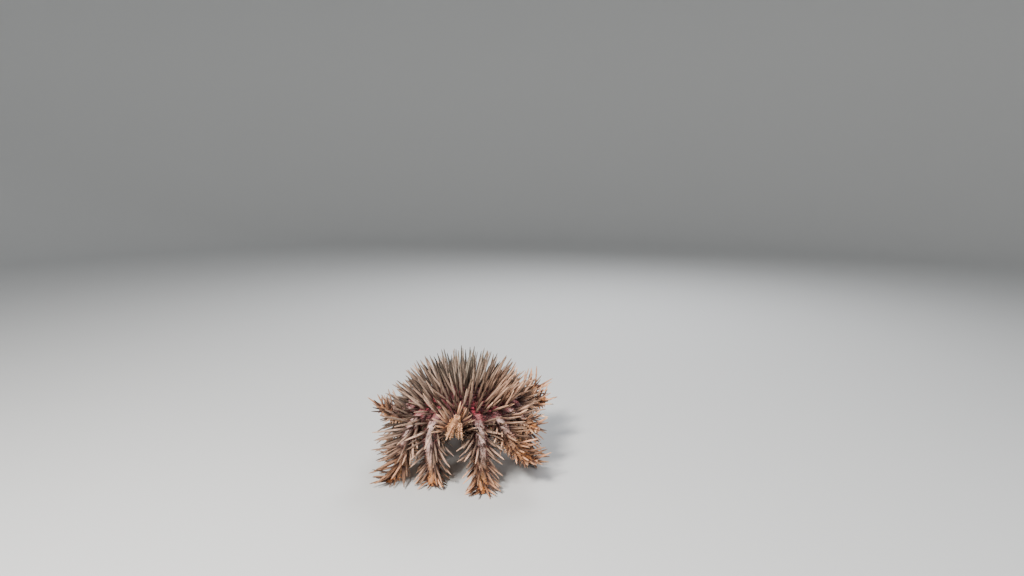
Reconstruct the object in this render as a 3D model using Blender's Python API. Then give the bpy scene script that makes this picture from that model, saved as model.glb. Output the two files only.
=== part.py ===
"""Crown of thorns starfish, life size, as a still model that stands on its arm tips.

Metres, +Z up, mouth down. The origin is on the floor under the middle of the whole
animal. Headings run counter-clockwise from +X, and -Y is the side seen in the pose.
"""

import math
import random
from collections import namedtuple

import bmesh
import bpy
from mathutils import Matrix, Vector

# Disc
DISC_X = 0.0001  # the disc's axis from the middle of the whole animal
DISC_Y = -0.0089
POLE_HEIGHT = 0.098  # top of the arched disc above the floor
DOME_DROP = 0.021  # how far the disc's top falls from its pole to DOME_RADIUS
DOME_RADIUS = 0.0646
DOME_RINGS = ((0.022, 8), (0.042, 16))  # radius and point count of each ring of the dome
MOUTH_RADIUS = 0.015
MOUTH_DEPTH = 0.012
MOUTH_SIDES = 16

# Arms
ROOT_RADIUS = 0.060  # the disc's axis to the middle of an arm's root
ROOT_HEIGHT = 0.068
ROOT_PITCH = math.radians(30)  # how far an arm points down where it leaves the disc
HALF_WIDTH = 0.0113
DORSAL_HEIGHT = 0.0105  # centre line to the back
VENTRAL_DEPTH = 0.0065  # centre line to the sole
GROOVE_DEPTH = 0.0035  # groove of the tube feet along the sole
SOLE_SHARE = 0.72  # half width of the sole as a share of the arm's
TAPER_EVEN = 0.12
TAPER_CUBED = 0.46
END_SHARE = 0.6  # size of the last section, which rounds the tip
FOOT_HEIGHT = 0.0001  # centre line of a resting arm's tip above the floor
BACK_POINTS = 7
SPLIT_AT = 0.5  # share of the arm's length where its base and tip part
BASE_SECTIONS = (0.0, 0.17, 0.34, 0.5)
TIP_SECTIONS = (0.5, 0.65, 0.8, 0.94, 1.0)
PATH_STEPS = 60
GAP = 0.0003  # kept between pieces that touch

# Spines
SPINE_SIDES = 5
SPINE_RADIUS = 0.0017  # at the root of the longest
SPINE_SINK = 0.0030  # depth of the root below the skin
DISC_SPINES = 152
DISC_SPINE_REACH = 0.0600  # outermost spine root from the disc's axis
DISC_SPINE_LENGTH = 0.045  # at the pole
RIM_SPINE_LENGTH = 0.034
RIM_SPINES = 32  # a fringe that leans out between the arms' roots
RIM_RADII = (0.0585, 0.0545)
RIM_SHARE = 0.8  # length of the fringe against RIM_SPINE_LENGTH
DISC_LEAN = 0.42
ARM_SPINE_PITCH = 0.0068  # distance between cross rows along an arm
ARM_ROOT_LENGTH = 0.040
ARM_TIP_LENGTH = 0.025
SIDE_SHARE = 0.80  # length of a spine at the arm's side against one on its back
CROSS_ROWS = ((10, 50, 130, 170), (30, 66, 114, 150))  # degrees round the back, from the right
END_FAN = ((-62, 8), (-30, 22), (0, 42), (30, 22), (62, 8), (0, 2))  # degrees aside and up
FAN_FROM = 0.95  # share of the arm's length where the end's fan has its roots
LEAN_AT_ROOT = 0.50
LEAN_AT_TIP = 1.00
JITTER = 0.11
TRIES = 10
SHORTENING = 0.05  # of a spine's length with each try to fit it in
SLACK = 0.009  # how much nearer a spine's tip may be to another arm than to its own
SPINE_CLEARANCE = 0.0004
FLOOR_CLEARANCE = 0.0012
SAMPLES = (0.0, 0.07, 0.14, 0.22, 0.3, 0.4, 0.5, 0.62, 0.74, 0.87, 1.0)  # along a spine
SEED = 11

SHARP_ANGLE = math.radians(50)  # edges sharper than this stay sharp in shading
GOLDEN_ANGLE = math.pi * (3 - math.sqrt(5))

# Each arm: heading and length, control pitch of a lifted arm or None for one that comes down
# to the floor, pitch at the tip, how far the tip turns aside, and the length of its spines
# against ARM_ROOT_LENGTH and ARM_TIP_LENGTH. Angles are in degrees.
Arm = namedtuple("Arm", "heading length control tip_pitch turn reach")
ARMS = (
    Arm(-72.0, 0.082, None, 18, -24, 0.78),
    Arm(-94.5, 0.051, -60, -60, 38, 0.66),
    Arm(-117.0, 0.077, None, 18, 40, 0.78),
    Arm(-139.5, 0.086, None, 20, -26, 1.05),
    Arm(-162.0, 0.047, -45, -20, -50, 0.80),
    Arm(175.5, 0.078, None, 18, 10, 0.98),
    Arm(153.0, 0.085, None, 20, -8, 1.0),
    Arm(130.5, 0.088, None, 20, 6, 1.0),
    Arm(108.0, 0.084, None, 20, -5, 1.0),
    Arm(85.5, 0.088, None, 20, 8, 1.0),
    Arm(63.0, 0.084, None, 20, -6, 1.0),
    Arm(40.5, 0.066, -14, -22, 4, 1.0),
    Arm(18.0, 0.049, -8, -16, 8, 0.78),
    Arm(-4.5, 0.078, None, 18, -26, 0.76),
    Arm(-27.0, 0.042, 6, 2, -14, 0.72),
    Arm(-49.5, 0.069, 56, 10, 44, 0.76),
)

AXIS = Vector((DISC_X, DISC_Y, 0.0))
UP = Vector((0.0, 0.0, 1.0))

Station = namedtuple("Station", "centre ahead aside up share")


def clear_scene():
    for obj in list(bpy.data.objects):
        bpy.data.objects.remove(obj)


def make_collection(name):
    collection = bpy.data.collections.new(name)
    bpy.context.scene.collection.children.link(collection)
    return collection


def make_material(name, colour, roughness):
    material = bpy.data.materials.new(name)
    material.use_nodes = True
    shader = material.node_tree.nodes["Principled BSDF"]
    shader.inputs["Base Color"].default_value = (*colour, 1.0)
    shader.inputs["Roughness"].default_value = roughness
    shader.inputs["Metallic"].default_value = 0.0
    return material


def object_from(bm, name, collection):
    """Moves the bmesh into a new object with its faces pointing out."""
    bmesh.ops.recalc_face_normals(bm, faces=bm.faces)
    mesh = bpy.data.meshes.new(name)
    bm.to_mesh(mesh)
    bm.free()
    obj = bpy.data.objects.new(name, mesh)
    collection.objects.link(obj)
    return obj


# Arm centre lines

def pitch_at(control, tip, share):
    """Pitch along an arm: a quadratic curve from the root's pitch past control to the tip's."""
    left = 1 - share
    return left * left * ROOT_PITCH + 2 * left * share * control + share * share * tip


def drop_of(arm, control):
    """How far the tip lies below the root for this control pitch."""
    tip = math.radians(arm.tip_pitch)
    step = arm.length / PATH_STEPS
    middles = ((i + 0.5) / PATH_STEPS for i in range(PATH_STEPS))
    return sum(step * math.sin(pitch_at(control, tip, share)) for share in middles)


def control_of(arm):
    """The control pitch, solved by halving for an arm whose tip comes down to the floor."""
    if arm.control is not None:
        return math.radians(arm.control)
    low, high = 0.0, math.radians(165)
    for _ in range(40):
        middle = (low + high) / 2
        if drop_of(arm, middle) < ROOT_HEIGHT - FOOT_HEIGHT:
            low = middle
        else:
            high = middle
    return low


def path_of(arm):
    """Stations along the arm's centre line, from its root to its tip."""
    control = control_of(arm)
    tip = math.radians(arm.tip_pitch)
    heading = math.radians(arm.heading)
    centre = AXIS + Vector((math.cos(heading), math.sin(heading), 0)) * ROOT_RADIUS
    centre.z = ROOT_HEIGHT
    step = arm.length / PATH_STEPS
    stations = []
    for i in range(PATH_STEPS + 1):
        share = i / PATH_STEPS
        turned = heading + math.radians(arm.turn) * share * share
        pitch = pitch_at(control, tip, share)
        flat = Vector((math.cos(turned), math.sin(turned), 0))
        ahead = flat * math.cos(pitch) - UP * math.sin(pitch)
        aside = UP.cross(flat)
        stations.append(Station(centre.copy(), ahead, aside, ahead.cross(aside), share))
        centre += ahead * step
    return stations


def station_at(path, share):
    return path[min(PATH_STEPS, max(0, round(share * PATH_STEPS)))]


def taper(share):
    return 1 - TAPER_EVEN * share - TAPER_CUBED * share**3


def above_floor(point):
    return Vector((point.x, point.y, max(point.z, 0.0)))


def section(station, shift=0.0):
    """Outline of the arm at a station, moved along the arm by shift, and flat on the floor."""
    size = taper(station.share) * (END_SHARE if station.share >= 1 else 1)
    groove = GROOVE_DEPTH * size if station.share < TIP_SECTIONS[2] else 0.0
    outline = []
    for i in range(BACK_POINTS):
        turn = math.pi * i / (BACK_POINTS - 1)
        outline.append((-math.cos(turn) * HALF_WIDTH, math.sin(turn) * DORSAL_HEIGHT))
    outline.append((SOLE_SHARE * HALF_WIDTH, -VENTRAL_DEPTH))
    outline.append((0.0, -VENTRAL_DEPTH + groove / size))
    outline.append((-SOLE_SHARE * HALF_WIDTH, -VENTRAL_DEPTH))
    centre = station.centre + station.ahead * shift
    return [
        above_floor(centre + station.aside * across * size + station.up * high * size)
        for across, high in outline
    ]


def loft(rings, name, collection):
    """A closed body through rings of points, with a flat face at each end."""
    bm = bmesh.new()
    made = [[bm.verts.new(point) for point in ring] for ring in rings]
    count = len(made[0])
    for near, far in zip(made, made[1:]):
        for i in range(count):
            after = (i + 1) % count
            bm.faces.new((near[i], near[after], far[after], far[i]))
    bm.faces.new(made[0])
    bm.faces.new(list(reversed(made[-1])))
    bmesh.ops.triangulate(bm, faces=bm.faces)
    return object_from(bm, name, collection)


def arm_length(path, shares, name, collection):
    """One length of an arm. Its first section stands a gap clear of what it grows from."""
    rings = [section(station_at(path, shares[0]), GAP)]
    rings += [section(station_at(path, share)) for share in shares[1:]]
    return loft(rings, name, collection)


# Disc

def dome_height(radius):
    return POLE_HEIGHT - DOME_DROP * (radius / DOME_RADIUS) ** 2


def dome_normal(x, y):
    slope = 2 * DOME_DROP / DOME_RADIUS**2
    return Vector((x * slope, y * slope, 1)).normalized()


def disc_body(paths, collection):
    """The disc: the hull of its dome and of every arm's root section, hollowed at the mouth."""
    bm = bmesh.new()
    for path in paths:
        for point in section(path[0]):
            bm.verts.new(point)
    bm.verts.new(AXIS + UP * POLE_HEIGHT)
    for radius, count in DOME_RINGS:
        for i in range(count):
            turn = 2 * math.pi * i / count
            flat = Vector((math.cos(turn), math.sin(turn), 0)) * radius
            bm.verts.new(AXIS + flat + UP * dome_height(radius))
    made = bmesh.ops.convex_hull(bm, input=bm.verts)
    bmesh.ops.delete(bm, geom=list(set(made["geom_interior"])), context="VERTS")
    bmesh.ops.triangulate(bm, faces=bm.faces)
    disc = object_from(bm, "disc", collection)

    sole = min(corner.z for path in paths for corner in section(path[0]))
    bm = bmesh.new()
    bmesh.ops.create_cone(
        bm,
        cap_ends=True,
        segments=MOUTH_SIDES,
        radius1=MOUTH_RADIUS,
        radius2=MOUTH_RADIUS / 3,
        depth=MOUTH_DEPTH * 2,
        matrix=Matrix.Translation(AXIS + UP * sole),
    )
    cutter = object_from(bm, "mouth_cutter", collection)
    apply_boolean(disc, "DIFFERENCE", cutter=cutter)
    bpy.data.objects.remove(cutter)
    return disc


# Spines

Spine = namedtuple("Spine", "root tip radius")


def closest_gap(a, b):
    """Free space between two spines, taking each as thin as it is at the nearest point."""
    along_a, along_b, between = a.tip - a.root, b.tip - b.root, a.root - b.root
    aa, bb, ab = along_a.dot(along_a), along_b.dot(along_b), along_a.dot(along_b)
    ac, bc = along_a.dot(between), along_b.dot(between)
    spread = aa * bb - ab * ab
    on_a = min(1.0, max(0.0, (ab * bc - ac * bb) / spread)) if spread > 1e-12 else 0.0
    on_b = (ab * on_a + bc) / bb
    if not 0 <= on_b <= 1:
        on_b = min(1.0, max(0.0, on_b))
        on_a = min(1.0, max(0.0, (ab * on_b - ac) / aa))
    apart = (between + along_a * on_a - along_b * on_b).length
    return apart - a.radius * (1 - on_a) - b.radius * (1 - on_b)


def misses_spines(spine, others):
    reach = (spine.tip - spine.root).length
    middle = (spine.tip + spine.root) / 2
    for other in others:
        far = (reach + (other.tip - other.root).length) / 2 + 2 * SPINE_RADIUS
        if (middle - (other.tip + other.root) / 2).length > far:
            continue
        if closest_gap(spine, other) < SPINE_CLEARANCE:
            return False
    return True


def misses_arms(spine, paths, own):
    """True if the spine keeps clear of every arm but its own."""
    reach = (spine.tip - spine.root).length
    for path in paths:
        middle = path[PATH_STEPS // 2].centre
        far = (path[-1].centre - path[0].centre).length
        if path is own or (spine.root - middle).length > reach + far:
            continue
        for share in SAMPLES:
            point = spine.root.lerp(spine.tip, share)
            thick = spine.radius * (1 - share) + SPINE_CLEARANCE
            if (point - path[0].centre).dot(path[0].ahead) < -thick:
                continue
            for station in path[:: PATH_STEPS // 15]:
                if (point - station.centre).length < taper(station.share) * HALF_WIDTH + thick:
                    return False
    return True


def misses_other_length(spine, path, station):
    """True if a spine rooted at station keeps clear of the other length of its own arm."""
    side = 1 if station.share < SPLIT_AT else -1
    split = station_at(path, SPLIT_AT)
    for share in SAMPLES:
        thick = spine.radius * (1 - share)
        point = spine.root.lerp(spine.tip, share) + split.ahead * side * (thick + 2 * GAP)
        near = min(path, key=lambda place: (place.centre - point).length_squared)
        if (near.share - SPLIT_AT) * side <= 0:
            continue
        if (near.centre - point).length < taper(near.share) * HALF_WIDTH + thick + GAP:
            return False
    return True


def own_side(spine, paths, own):
    """True if the spine's tip is nearer its own arm than any other, or nearly so."""
    def away(path):
        return min((station.centre - spine.tip).length for station in path[:: PATH_STEPS // 10])

    mine = away(own)
    return all(away(path) > mine - SLACK for path in paths if path is not own)


def lifted(root, direction, length):
    """The direction, turned up far enough for the tip to stay above the floor."""
    lowest = (FLOOR_CLEARANCE - root.z) / length
    if direction.z >= lowest:
        return direction
    flat = Vector((direction.x, direction.y, 0)).normalized()
    return (flat * math.sqrt(max(0.0, 1 - lowest * lowest)) + UP * lowest).normalized()


def jittered(draw, direction):
    shake = Vector((draw.gauss(0, 1), draw.gauss(0, 1), draw.gauss(0, 1)))
    return (direction + shake * JITTER).normalized()


def plant(draw, skin_point, outward, direction, length, spines, paths, path=None, station=None):
    """Adds a spine to spines if one of a few jittered tries, each shorter, is clear of the rest."""
    radius = SPINE_RADIUS * (0.7 + 0.3 * length / DISC_SPINE_LENGTH)
    root = skin_point - outward * SPINE_SINK
    if root.z < radius + FLOOR_CLEARANCE:
        return None
    for trial in range(TRIES):
        full = length * (1 - SHORTENING * trial) + SPINE_SINK
        aim = lifted(root, jittered(draw, direction), full)
        spine = Spine(root, root + aim * full, radius)
        if path and not (own_side(spine, paths, path) and misses_other_length(spine, path, station)):
            continue
        if misses_spines(spine, spines) and misses_arms(spine, paths, path):
            spines.append(spine)
            return spine
    return None


def skin_at(station, degrees):
    """A point on an arm's back and the way out there, by the angle round the arm."""
    turn = math.radians(degrees)
    across, high = -math.cos(turn), math.sin(turn)
    size = taper(station.share)
    sideways = station.aside * across
    upward = station.up * high
    point = station.centre + (sideways * HALF_WIDTH + upward * DORSAL_HEIGHT) * size
    return point, (sideways + upward).normalized()


def row_spines(draw, arm, path, spines, paths):
    """Spines along one arm's back in staggered cross rows: (share, spine) pairs."""
    planted = []
    rows = round(arm.length / ARM_SPINE_PITCH)
    for row in range(rows):
        for degrees in CROSS_ROWS[row % 2]:
            station = station_at(path, min(0.96, (row + draw.uniform(0.45, 0.75)) / rows))
            share = station.share
            point, outward = skin_at(station, degrees + draw.uniform(-7, 7))
            lean = LEAN_AT_ROOT + (LEAN_AT_TIP - LEAN_AT_ROOT) * share
            reach = ARM_ROOT_LENGTH + (ARM_TIP_LENGTH - ARM_ROOT_LENGTH) * share
            reach *= SIDE_SHARE + (1 - SIDE_SHARE) * outward.dot(station.up)
            reach *= arm.reach * draw.uniform(0.88, 1.08)
            aim = (outward + station.ahead * lean).normalized()
            made = plant(draw, point, outward, aim, reach, spines, paths, path, station)
            if made:
                planted.append((share, made))
    return planted


def fan_spines(draw, path, spines, paths):
    """Spines round the end of one arm: (share, spine) pairs."""
    planted = []
    end = path[-1]
    for aside, rise in END_FAN:
        aside, rise = math.radians(aside), math.radians(rise)
        aim = (end.ahead * math.cos(aside) + end.aside * math.sin(aside)) * math.cos(rise)
        aim = (aim + end.up * math.sin(rise)).normalized()
        point = station_at(path, FAN_FROM).centre + aim * SPINE_SINK
        reach = ARM_TIP_LENGTH * draw.uniform(0.7, 0.95)
        made = plant(draw, point, aim, aim, reach, spines, paths, path, end)
        if made:
            planted.append((end.share, made))
    return planted


def arm_spines(draw, arm, path, spines, paths):
    rows = row_spines(draw, arm, path, spines, paths)
    return rows + fan_spines(draw, path, spines, paths)


def dome_place(radius, turn):
    """A point on the dome, the way out there, and the way a spine leans there."""
    x, y = radius * math.cos(turn), radius * math.sin(turn)
    point = AXIS + Vector((x, y, dome_height(radius)))
    outward = dome_normal(x, y)
    lean = Vector((x, y, 0)) / DISC_SPINE_REACH * DISC_LEAN
    return point, outward, (outward + lean).normalized()


def disc_reach(radius):
    """Length of a spine by its root's distance from the disc's axis."""
    share = (radius / DISC_SPINE_REACH) ** 3
    return DISC_SPINE_LENGTH + (RIM_SPINE_LENGTH - DISC_SPINE_LENGTH) * share


def disc_spines(draw, spines, paths):
    """Spines over the dome, evenly spread on a sunflower spiral."""
    planted = []
    for i in range(DISC_SPINES):
        radius = DISC_SPINE_REACH * math.sqrt((i + 0.5) / DISC_SPINES)
        point, outward, aim = dome_place(radius, i * GOLDEN_ANGLE)
        reach = disc_reach(radius) * draw.uniform(0.86, 1.04)
        made = plant(draw, point, outward, aim, reach, spines, paths)
        if made:
            planted.append(made)
    return planted


def rim_spines(draw, spines, paths):
    """Spines that lean out over the disc's rim, in two circles."""
    planted = []
    for i in range(RIM_SPINES):
        turn = 2 * math.pi * (i + draw.uniform(0.3, 0.7)) / RIM_SPINES
        point, outward, _ = dome_place(RIM_RADII[i % 2], turn)
        out = Vector((math.cos(turn), math.sin(turn), 0))
        aim = (out + UP * draw.uniform(0.3, 0.8)).normalized()
        reach = RIM_SPINE_LENGTH * RIM_SHARE * draw.uniform(0.86, 1.04)
        made = plant(draw, point, outward, aim, reach, spines, paths)
        if made:
            planted.append(made)
    return planted


def spine_object(spine, collection):
    """A spine as a tapered cone from its sunk root to its point."""
    along = spine.tip - spine.root
    turned = along.to_track_quat("Z", "Y").to_matrix().to_4x4()
    bm = bmesh.new()
    bmesh.ops.create_cone(
        bm,
        cap_ends=True,
        cap_tris=True,
        segments=SPINE_SIDES,
        radius1=spine.radius,
        radius2=0,
        depth=along.length,
        matrix=Matrix.Translation((spine.root + spine.tip) / 2) @ turned,
    )
    return object_from(bm, "spine", collection)


# Joining

def apply_boolean(obj, operation, cutter=None, collection=None):
    modifier = obj.modifiers.new("cut", "BOOLEAN")
    modifier.operation = operation
    modifier.solver = "EXACT"
    if cutter:
        modifier.object = cutter
    else:
        modifier.operand_type = "COLLECTION"
        modifier.collection = collection
    bpy.context.view_layer.update()
    graph = bpy.context.evaluated_depsgraph_get()
    mesh = bpy.data.meshes.new_from_object(obj.evaluated_get(graph))
    obj.modifiers.clear()
    obj.data = mesh


def keep_largest(obj):
    """Keeps the closed surface with the largest volume, and shades it smooth."""
    bm = bmesh.new()
    bm.from_mesh(obj.data)
    bmesh.ops.triangulate(bm, faces=bm.faces)
    left = set(bm.faces)
    shells = []
    while left:
        front = [left.pop()]
        shell = list(front)
        while front:
            face = front.pop()
            for edge in face.edges:
                for near in edge.link_faces:
                    if near in left:
                        left.remove(near)
                        front.append(near)
                        shell.append(near)
        shells.append(shell)

    def volume(shell):
        corners = ([vert.co for vert in face.verts] for face in shell)
        return sum(a.dot(b.cross(c)) for a, b, c in corners)

    shells.sort(key=volume)
    loose = [face for shell in shells[:-1] for face in shell]
    bmesh.ops.delete(bm, geom=loose, context="FACES")
    bm.to_mesh(obj.data)
    bm.free()
    obj.data.shade_smooth()
    obj.data.set_sharp_from_angle(angle=SHARP_ANGLE)


def fuse_spines(body, spines, finish):
    """Joins the spines to their body as one closed surface, and gives it its finish."""
    gathered = make_collection(body.name + "_spines")
    for spine in spines:
        spine_object(spine, gathered)
    apply_boolean(body, "UNION", collection=gathered)
    for obj in list(gathered.objects):
        bpy.data.objects.remove(obj)
    bpy.data.collections.remove(gathered)
    keep_largest(body)
    body.data.materials.clear()
    body.data.materials.append(finish)


def main():
    clear_scene()
    starfish = make_collection("crown_of_thorns_starfish")
    disc_finish = make_material("disc_skin", (0.30, 0.13, 0.11), 0.6)
    base_finish = make_material("arm_skin", (0.43, 0.25, 0.17), 0.6)
    tip_finish = make_material("arm_tip_skin", (0.52, 0.27, 0.13), 0.6)

    paths = [path_of(arm) for arm in ARMS]
    draw = random.Random(SEED)
    spines = []
    on_arms = [arm_spines(draw, arm, path, spines, paths) for arm, path in zip(ARMS, paths)]
    on_disc = disc_spines(draw, spines, paths) + rim_spines(draw, spines, paths)

    fuse_spines(disc_body(paths, starfish), on_disc, disc_finish)
    for number, (path, planted) in enumerate(zip(paths, on_arms), start=1):
        name = f"arm_{number:02d}"
        near = [spine for share, spine in planted if share < SPLIT_AT]
        far = [spine for share, spine in planted if share >= SPLIT_AT]
        base = arm_length(path, BASE_SECTIONS, name + "_base", starfish)
        tip = arm_length(path, TIP_SECTIONS, name + "_tip", starfish)
        fuse_spines(base, near, base_finish)
        fuse_spines(tip, far, tip_finish)


main()
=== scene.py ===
"""Looks of the crown of thorns starfish: one skin over disc and arms, and its coat of spines.

Metres, +Z up, the frame of the CAD. Sizes and places of the body repeat the part's source.
"""
import math
import random
from collections import namedtuple

import bmesh
import bpy
import numpy as np
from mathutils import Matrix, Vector

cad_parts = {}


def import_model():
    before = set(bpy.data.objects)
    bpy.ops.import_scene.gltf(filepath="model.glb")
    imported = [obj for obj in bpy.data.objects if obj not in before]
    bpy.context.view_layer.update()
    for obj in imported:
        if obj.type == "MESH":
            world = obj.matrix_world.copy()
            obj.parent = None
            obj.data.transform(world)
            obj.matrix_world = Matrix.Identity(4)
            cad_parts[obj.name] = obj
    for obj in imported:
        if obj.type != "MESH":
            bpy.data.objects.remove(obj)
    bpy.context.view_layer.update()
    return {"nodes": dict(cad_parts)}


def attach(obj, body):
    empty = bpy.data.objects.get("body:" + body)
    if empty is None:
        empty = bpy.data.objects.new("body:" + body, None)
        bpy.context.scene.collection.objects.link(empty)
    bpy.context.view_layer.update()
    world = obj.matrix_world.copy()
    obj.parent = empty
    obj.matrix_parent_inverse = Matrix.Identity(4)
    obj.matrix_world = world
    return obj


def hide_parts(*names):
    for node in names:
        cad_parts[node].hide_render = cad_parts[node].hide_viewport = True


# Disc, as in the part's source
DISC_X = 0.0001
DISC_Y = -0.0089
POLE_HEIGHT = 0.098
DOME_DROP = 0.021
DOME_RADIUS = 0.0646

# Arms, likewise
ROOT_RADIUS = 0.060
ROOT_HEIGHT = 0.068
ROOT_PITCH = math.radians(30)
HALF_WIDTH = 0.0113
DORSAL_HEIGHT = 0.0105
VENTRAL_DEPTH = 0.0065
GROOVE_DEPTH = 0.0035
TAPER_EVEN = 0.12
TAPER_CUBED = 0.46
END_SHARE = 0.6
FOOT_HEIGHT = 0.0001
SPLIT_AT = 0.5
PATH_STEPS = 60
GAP = 0.0003

# Spines, likewise
SPINE_RADIUS = 0.0017
SPINE_SINK = 0.0030
DISC_SPINE_REACH = 0.0600
DISC_SPINE_LENGTH = 0.045
RIM_SPINE_LENGTH = 0.034
RIM_SHARE = 0.8
DISC_LEAN = 0.42
ARM_SPINE_PITCH = 0.0068
ARM_ROOT_LENGTH = 0.040
ARM_TIP_LENGTH = 0.025
SIDE_SHARE = 0.80
CROSS_ROWS = ((10, 50, 130, 170), (30, 66, 114, 150))
ROW_TURN = 7  # degrees that a spine may stand off its place in a cross row
END_FAN = ((-62, 8), (-30, 22), (0, 42), (30, 22), (62, 8), (0, 2))
FAN_FROM = 0.95
LEAN_AT_ROOT = 0.50
LEAN_AT_TIP = 1.00
JITTER = 0.11
TRIES = 10
SHORTENING = 0.05
SLACK = 0.009
SPINE_CLEARANCE = 0.0004
FLOOR_CLEARANCE = 0.0012
SAMPLES = (0.0, 0.07, 0.14, 0.22, 0.3, 0.4, 0.5, 0.62, 0.74, 0.87, 1.0)
SEED = 11

# Skin
SKIN_DEPTH = 0.0004  # how far the skin lies inside the solids
SKIN_POINTS = 32
SKIN_STATIONS = 3  # path steps from one ring of the skin to the next
INWARD = 0.012  # how far an arm's skin runs on into the disc
BACK_FIT = 0.985  # width and height of the skin's back against the solids'
SOLE_FIT = 0.94
SOLE_GROOVE_WIDTH = 0.0026
SOLE_GROOVE_EXTRA = 0.0008  # how much deeper the groove is than the solids'
GROOVE_LAST = 0.86  # share of the arm where the groove ends
GROOVE_FADE = 0.2
END_CAP = (0.55, 0.0006)  # how far the arm's last ring is drawn in, and moved on
VOXEL = 0.0012
SMOOTH_ROUNDS = 7
TURN_STEPS = 96  # points in one ring of a turned shape
RIM_RADIUS = 0.0624
SOLE_HEIGHT = 0.0628
DISC_EDGE = (  # radius and height, from the dome's edge round the rim to the underside
    (0.0600, 0.0795), (RIM_RADIUS, 0.0765), (RIM_RADIUS, 0.0735), (0.0612, 0.0695),
    (0.0590, 0.0660), (0.0565, 0.0636), (0.053, SOLE_HEIGHT),
)
ORAL_GROOVE = 0.0028
ORAL_GROOVE_WIDTH = 0.0017
ORAL_REACH = 0.0585
ORAL_BAND = 0.004  # points farther below the underside belong to arms
DISC_LOWEST = 0.052  # lower points near the axis belong to arms that curl in
GROOVE_STRIPE = 0.0024
MOUTH_RADIUS = 0.0135
MOUTH_DEPTH = 0.0095
WAVES = 14
WAVE_TURNS = (180, 620)  # radians a metre
WAVE_HEIGHT = 0.00004
WAVE_INSET = 0.0001
SKIN_SEED = 5

# Coat
EXTRA_ROWS_PITCH = 0.0062
EXTRA_CROSS_ROWS = ((-12, 20, 42, 64, 116, 138, 160, 192), (2, 30, 54, 74, 106, 126, 150, 178))
EXTRA_LEAN = 0.15  # how much more an extra spine of an arm leans toward the arm's end
EXTRA_CLEARANCE = 0.0001
EXTRA_SIZE = 0.85  # thickness of an extra spine against one of the solids
# Painted shade: the extra spines are darkened to this share, as if they lay deeper in the coat's
# shadow.
EXTRA_PAINTED_SHADE = 0.28
DRAWN_THICKNESS = 0.80  # thickness of every spine against the solids' plain cones
SPINE_SIDES = 10
SPINE_BEND = 0.018
PAPULAE = 5200
PAPULA_LENGTH = 0.0022
PAPULA_RADIUS = 0.00052
PAPULA_APART = 0.0014
PAPULA_SINK = 0.0005
GRANULES = 9000
GRANULE_HEIGHT = 0.0009
GRANULE_RADIUS = 0.00065
GRANULE_APART = 0.0011
GRANULE_SINK = 0.0003
SCATTER_SHAKE = 0.0003  # how far a papula or granule is moved off the skin's own points
FOOT_PITCH = 0.0027  # distance between tube feet along a groove
FOOT_LENGTH = 0.0058
LIFTED_FOOT_LENGTH = 0.0042
DISC_FOOT_LENGTH = 0.0052
BLUNT_PITCH = 0.0030
BLUNT_ROWS = ((0.0042, 0.25, 0.0046), (0.0066, 0.7, 0.0062))  # off the groove, lean and length
DISC_BLUNT_LENGTH = 0.0046
DISC_GROOVE_END = 0.054
MOUTH_SPINES = 48
MOUTH_SPINE_LENGTH = 0.0078
SHORT_RADIUS = 0.00075  # of tube feet and blunt spines
SHORT_ROOT_LOWEST = 0.0045
SHORT_TIP_LOWEST = 0.0014
END_FEELERS = 8
FEELER_RADIUS = 0.00085
FEELER_LENGTH = 0.0042
ORAL_PLATES = 1300
ORAL_APART = 0.0024
PATCH = 0.003  # width of one tuft's patch in the bake map
COAT_SEED = 7

# View: the photograph's size, and the lens's place from the disc's foot point
PHOTO_WIDTH = 1024
FOCAL_PIXELS = 731.0
CAMERA_FROM_DISC = (0.0592, -0.859, 0.369)
CAMERA_PITCH = math.radians(-10)
SENSOR = 36.0

# Stage
FLOOR_RADIUS = 2.4
WALL_BEND = 0.9
WALL_HEIGHT = 2.0
BEND_STEPS = 12
FLOOR_COLOUR = (0.68, 0.69, 0.69, 1)
LIGHT_AIM = (0, 0, 0.06)
Light = namedtuple("Light", "name place size power colour")
LIGHTS = (
    Light("key", (-0.46, -0.95, 1.02), 0.26, 38, (1.0, 0.96, 0.91)),
    Light("fill", (0.95, -0.70, 0.60), 0.7, 4, (0.92, 0.96, 1.0)),
    Light("back", (0.30, 1.10, 1.1), 0.6, 15, (0.96, 0.97, 1.0)),
)
SKY_COLOUR = (0.82, 0.86, 0.90, 1)
SKY_STRENGTH = 0.21

# Spines of the disc: a spiral covers the dome evenly, a fringe stands in rings round its rim.
# Lengths, turns and rises are drawn from the ranges. The first of each kind is the solids' own.
GOLDEN_ANGLE = math.pi * (3 - math.sqrt(5))

Spiral = namedtuple("Spiral", "count reach shift start middle_length lengths clearance size")
DISC_SPIRAL = Spiral(152, DISC_SPINE_REACH, 0.0, 0.0, DISC_SPINE_LENGTH, (0.86, 1.04),
                     SPINE_CLEARANCE, 1.0)
EXTRA_SPIRAL = Spiral(150, DISC_SPINE_REACH, 0.5, 1.0, DISC_SPINE_LENGTH, (0.62, 0.92),
                      EXTRA_CLEARANCE, EXTRA_SIZE)
POLE_SPIRAL = Spiral(22, 0.019, 0.0, 2.2, RIM_SPINE_LENGTH, (0.55, 0.85),
                     EXTRA_CLEARANCE, EXTRA_SIZE)

Fringe = namedtuple("Fringe", "count radii turns rises length lengths clearance size")
RIM_FRINGE = Fringe(32, (0.0585, 0.0545), (0.3, 0.7), (0.3, 0.8), RIM_SPINE_LENGTH * RIM_SHARE,
                    (0.86, 1.04), SPINE_CLEARANCE, 1.0)
EXTRA_FRINGE = Fringe(96, (0.0590, 0.0540, 0.0490), (0.2, 0.8), (0.25, 0.75), RIM_SPINE_LENGTH,
                      (0.62, 0.85), EXTRA_CLEARANCE, 0.9)

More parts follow.
